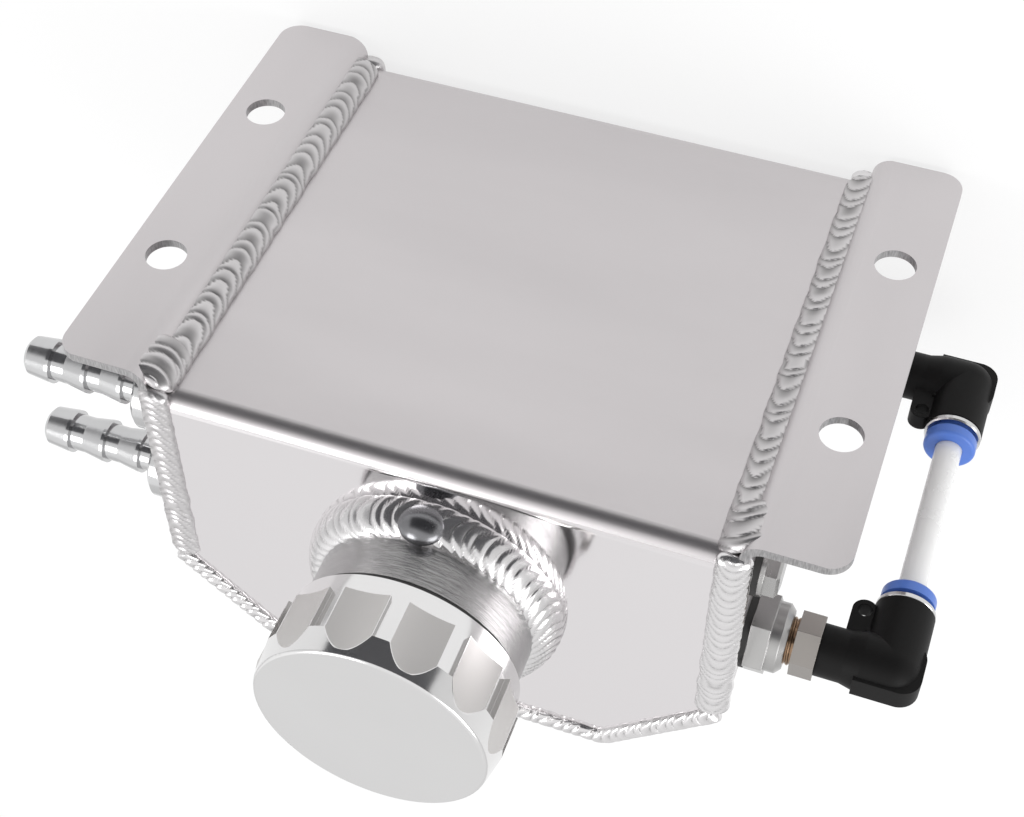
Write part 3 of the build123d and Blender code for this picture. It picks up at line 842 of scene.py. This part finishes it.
# The bungs' welds: a thin bead of bright filler round each of the two hose bungs, where it stands out of the left
# wall. Each is one run that ends on its own start.
left_face = -64.3
upper_port_z = 44.9
front_port_y = -44.0
back_port_y = -20.5
bung_ring_radius = 9.3
bung_ring_steps = 48
bung_runs = []
for port_y in (back_port_y, front_port_y):
    rim = [
        (
            left_face,
            port_y + bung_ring_radius * sin(2 * pi * step / bung_ring_steps),
            upper_port_z + bung_ring_radius * cos(2 * pi * step / bung_ring_steps),
        )
        for step in range(bung_ring_steps)
    ]
    bung_runs.append(
        bead(
            "bung_run",
            rim,
            pitch=1.9,
            across=1.25,
            proud=0.95,
            depth=0.16,
            outward=(-1, 0, 0),
            closed=True,
            centre=(left_face, port_y, upper_port_z),
            round_share=0.8,
            seed=50,
        )
    )
welded(joined("bung_bead", bung_runs), "barb_bung_welds")

# Filler neck, hose spigots and bungs: turned from aluminium bar, so fine rings from the lathe run round each of
# them. The neck and the bungs are welded in, the bungs carry the spigots, and the neck's bore has a thread.
# The neck's turned aluminium is given a darker colour than bare metal: a painted dark reflection, standing for the
# dark band across its turned face.
neck_metal_painted_dark = worked_surface(
    "turned_aluminium_painted_dark",
    colour=(0.47, 0.465, 0.465, 1),
    worn=(0.36, 0.355, 0.355, 1),
    smooth=0.16,
    rough=0.26,
    size=900.0,
    depth=0.14 * mm,
    stretch=(0.03, 0.03, 3.0),
    relief=1.0,
)
dress(neck_metal_painted_dark, "filler_neck")
spigot_finish = worked_surface(
    "turned_spigot",
    colour=(0.62, 0.62, 0.625, 1),
    worn=(0.52, 0.52, 0.525, 1),
    smooth=0.12,
    rough=0.22,
    size=1400.0,
    depth=0.006 * mm,
    stretch=(3.0, 0.2, 0.2),
)
dress(spigot_finish, "hose_barb_back", "hose_barb_front", "barb_bungs", "port_bungs")


def thread_nodes():
    """Geometry nodes that wind a round-crested thread ridge about an axis through the origin, along Z."""
    steps_per_turn = 72.0
    steps_round = 13
    run_out_per_turn = 3.0
    tree, given, result = tree_with(
        "thread_ridge",
        (
            ("Turns", "NodeSocketFloat"),
            ("Pitch", "NodeSocketFloat"),
            ("Core Radius", "NodeSocketFloat"),
            ("Ridge Height", "NodeSocketFloat"),
            ("Half Width", "NodeSocketFloat"),
            ("Ridge Metal", "NodeSocketMaterial"),
        ),
    )

    def sums(operation, *values):
        return sum_of(tree, operation, *values)

    steps_along = sums("MULTIPLY", given["Turns"], steps_per_turn)
    skin, lengthwise, around = flat_skin(tree, steps_along, steps_round)
    along = sums("ADD", lengthwise, 0.5)
    from_end = sums("MULTIPLY_ADD", sums("ABSOLUTE", lengthwise), -2.0, 1.0)
    run_out = sums("MULTIPLY", from_end, sums("MULTIPLY", given["Turns"], run_out_per_turn))
    swell = sums("MINIMUM", run_out, 1.0)
    turned = sums("MULTIPLY", along, given["Turns"])
    angle = sums("MULTIPLY", turned, 2 * pi)
    lift = sums("MULTIPLY", sums("MULTIPLY", given["Ridge Height"], sums("SINE", around)), swell)
    radius = sums("ADD", given["Core Radius"], lift)
    spread = sums("MULTIPLY", sums("MULTIPLY", given["Half Width"], sums("COSINE", around)), swell)
    place = tree.nodes.new("ShaderNodeCombineXYZ")
    tree.links.new(sums("MULTIPLY", radius, sums("COSINE", angle)), place.inputs["X"])
    tree.links.new(sums("MULTIPLY", radius, sums("SINE", angle)), place.inputs["Y"])
    tree.links.new(sums("MULTIPLY_ADD", turned, given["Pitch"], spread), place.inputs["Z"])
    rolled_up(tree, skin, place.outputs["Vector"], 0.004 * mm, given["Ridge Metal"], result)
    return tree


thread_tree = thread_nodes()


def thread(name, body, laid_on, turns, pitch, core, height, half_width, metal):
    """A thread ridge, moved onto its piece by a matrix. Lengths are in millimetres."""
    ridge = grow(
        name,
        thread_tree,
        [Vector((0, 0, 0)), Vector((0, 0, mm))],
        False,
        {
            "Turns": turns,
            "Pitch": pitch * mm,
            "Core Radius": core * mm,
            "Ridge Height": height * mm,
            "Half Width": half_width * mm,
            "Ridge Metal": metal,
        },
    )
    ridge.data.transform(laid_on)
    whole = bmesh.new()
    whole.from_mesh(ridge.data)
    bmesh.ops.recalc_face_normals(whole, faces=whole.faces)
    whole.to_mesh(ridge.data)
    whole.free()
    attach(ridge, body)


cap_thread_pitch = 3.0
bore_thread_z = 66.1
skirt_thread_z = bore_thread_z + cap_thread_pitch / 2
thread(
    "neck_bore_thread",
    "tank",
    Matrix.Translation(Vector((0, neck_y, bore_thread_z)) * mm),
    turns=2.4,
    pitch=cap_thread_pitch,
    core=19.04,
    height=-0.26,
    half_width=0.55,
    metal=neck_metal_painted_dark,
)

# Filler cap: billet aluminium, turned and polished all over, with satin-milled finger scallops round it. It screws
# into the neck by a thread on its skirt, whose ridge runs half a pitch from the neck's.
lobe_start = 79.85 * mm
taper_start = 89.70 * mm
cap_top = 95.0 * mm
lobe_radius = 26.5 * mm
face_radius = 25.1 * mm
scallop_inner = 25.2 * mm
scallop_margin = 0.07 * mm
milled_colour = (0.60, 0.585, 0.575, 1)
milled_roughness = 0.42
cap_finish = worked_surface(
    "polished_cap",
    colour=(0.78, 0.775, 0.775, 1),
    worn=(0.74, 0.735, 0.735, 1),
    smooth=0.11,
    rough=0.17,
    size=700.0,
    depth=0.004 * mm,
)
tree = cap_finish.node_tree
place = place_on(tree)
height = axes_of(tree, place)["Z"]
off_axis = vector_of(tree, "SUBTRACT", place, (0, neck_y * mm, 0))
radius = vector_of(tree, "LENGTH", vector_of(tree, "MULTIPLY", off_axis, (1, 1, 0)))
crown_start = lobe_radius - scallop_margin
crown_end = face_radius - scallop_margin
crown = ranged(tree, height, taper_start, cap_top, crown_start, crown_end)
below_crown = sum_of(tree, "LESS_THAN", radius, crown)
on_lobes = sum_of(tree, "GREATER_THAN", height, lobe_start)
off_face = sum_of(tree, "GREATER_THAN", radius, scallop_inner)
milled = sum_of(tree, "MULTIPLY", sum_of(tree, "MULTIPLY", below_crown, on_lobes), off_face)
lay_over(cap_finish, milled, milled_colour, milled_roughness)
dress(cap_finish, "filler_cap")
thread(
    "cap_skirt_thread",
    "cap",
    Matrix.Translation(Vector((0, neck_y, skirt_thread_z)) * mm),
    turns=2.0,
    pitch=cap_thread_pitch,
    core=18.66,
    height=0.26,
    half_width=0.55,
    metal=cap_finish,
)

# Rubber: the flat gasket under the cap, the black washers under the fittings and the plug, and the tube's seals in
# the elbows. All are plain black rubber, and are held by the pieces that close on them.
black_rubber = worked_surface(
    "black_rubber",
    colour=(0.022, 0.022, 0.022, 1),
    worn=(0.035, 0.034, 0.033, 1),
    smooth=0.5,
    rough=0.75,
    size=1800.0,
    depth=0.02 * mm,
    metallic=0.0,
)
dress(
    black_rubber,
    "cap_gasket",
    "upper_port_washer",
    "lower_port_washer",
    "plug_washer",
    "upper_tube_seal",
    "lower_tube_seal",
)

# Sight fittings: hex bushings and the plug, turned and milled from bar, which screw into the right wall's bungs.
# The elbows' studs are nickel-plated, with bare copper-brown threads, and screw into the bushings.
hex_finish = worked_surface(
    "milled_hex",
    colour=(0.50, 0.495, 0.49, 1),
    worn=(0.38, 0.375, 0.37, 1),
    smooth=0.24,
    rough=0.40,
    size=1300.0,
    depth=0.01 * mm,
    soften=0.25 * mm,
)
dress(hex_finish, "upper_bushing", "lower_bushing", "port_plug")

thread_end = 74.55 * mm
thread_colour = (0.30, 0.20, 0.13, 1)
stud_finish = worked_surface(
    "nickel_and_thread",
    colour=(0.42, 0.395, 0.37, 1),
    worn=(0.30, 0.28, 0.265, 1),
    smooth=0.14,
    rough=0.28,
    size=1300.0,
    depth=0.01 * mm,
    soften=0.2 * mm,
)
tree = stud_finish.node_tree
threaded = sum_of(tree, "LESS_THAN", axes_of(tree, place_on(tree))["X"], thread_end)
lay_over(stud_finish, threaded, thread_colour)
dress(stud_finish, "upper_elbow_stud", "lower_elbow_stud")
stud_thread_x = 72.5
lower_port_z = -36.7
along_x = Matrix.Rotation(pi / 2, 4, "Y")
for word, port_z in (("upper", upper_port_z), ("lower", lower_port_z)):
    thread(
        f"{word}_stud_thread",
        "tank",
        Matrix.Translation(Vector((stud_thread_x, front_port_y, port_z)) * mm) @ along_x,
        turns=2.3,
        pitch=0.907,
        core=4.83,
        height=0.34,
        half_width=0.34,
        metal=stud_finish,
    )

# Clamp rings and grab rings: thin rings of bright steel. A clamp ring closes each elbow's mouth, and the grab ring
# inside holds the tube until the collet is pressed.
bright_steel = worked_surface(
    "bright_steel",
    colour=(0.68, 0.68, 0.68, 1),
    worn=(0.60, 0.60, 0.60, 1),
    smooth=0.12,
    rough=0.22,
    size=1500.0,
    depth=0.005 * mm,
)
dress(bright_steel, "upper_clamp_ring", "lower_clamp_ring", "upper_grab_ring", "lower_grab_ring")

# Push-fit elbows: black glass-filled nylon, moulded with a fine spark-eroded grain, on the studs. Their release
# collets are blue acetal, and slide in the elbows' mouths.
black_nylon = worked_surface(
    "black_nylon",
    colour=(0.005, 0.005, 0.005, 1),
    worn=(0.009, 0.0085, 0.0085, 1),
    smooth=0.42,
    rough=0.58,
    size=2400.0,
    depth=0.02 * mm,
    metallic=0.0,
    soften=0.3 * mm,
)
finish_of(black_nylon)["Specular IOR Level"].default_value = 0.14
dress(black_nylon, "upper_elbow_body", "lower_elbow_body")
blue_acetal = worked_surface(
    "blue_acetal",
    colour=(0.075, 0.17, 0.56, 1),
    worn=(0.09, 0.20, 0.62, 1),
    smooth=0.26,
    rough=0.38,
    size=1500.0,
    depth=0.008 * mm,
    metallic=0.0,
)
dress(blue_acetal, "upper_collet", "lower_collet")

# Sight tube: 6 mm milky polyamide, cut to length, which lets the coolant's level show. It is pushed into both
# elbows and held by their grab rings.
milky_tube = worked_surface(
    "milky_tube",
    colour=(0.92, 0.915, 0.91, 1),
    worn=(0.90, 0.90, 0.90, 1),
    smooth=0.22,
    rough=0.30,
    size=300.0,
    depth=0.001 * mm,
    metallic=0.0,
)
finish_of(milky_tube)["Transmission Weight"].default_value = 0.12
finish_of(milky_tube)["IOR"].default_value = 1.45
dress(milky_tube, "sight_tube")
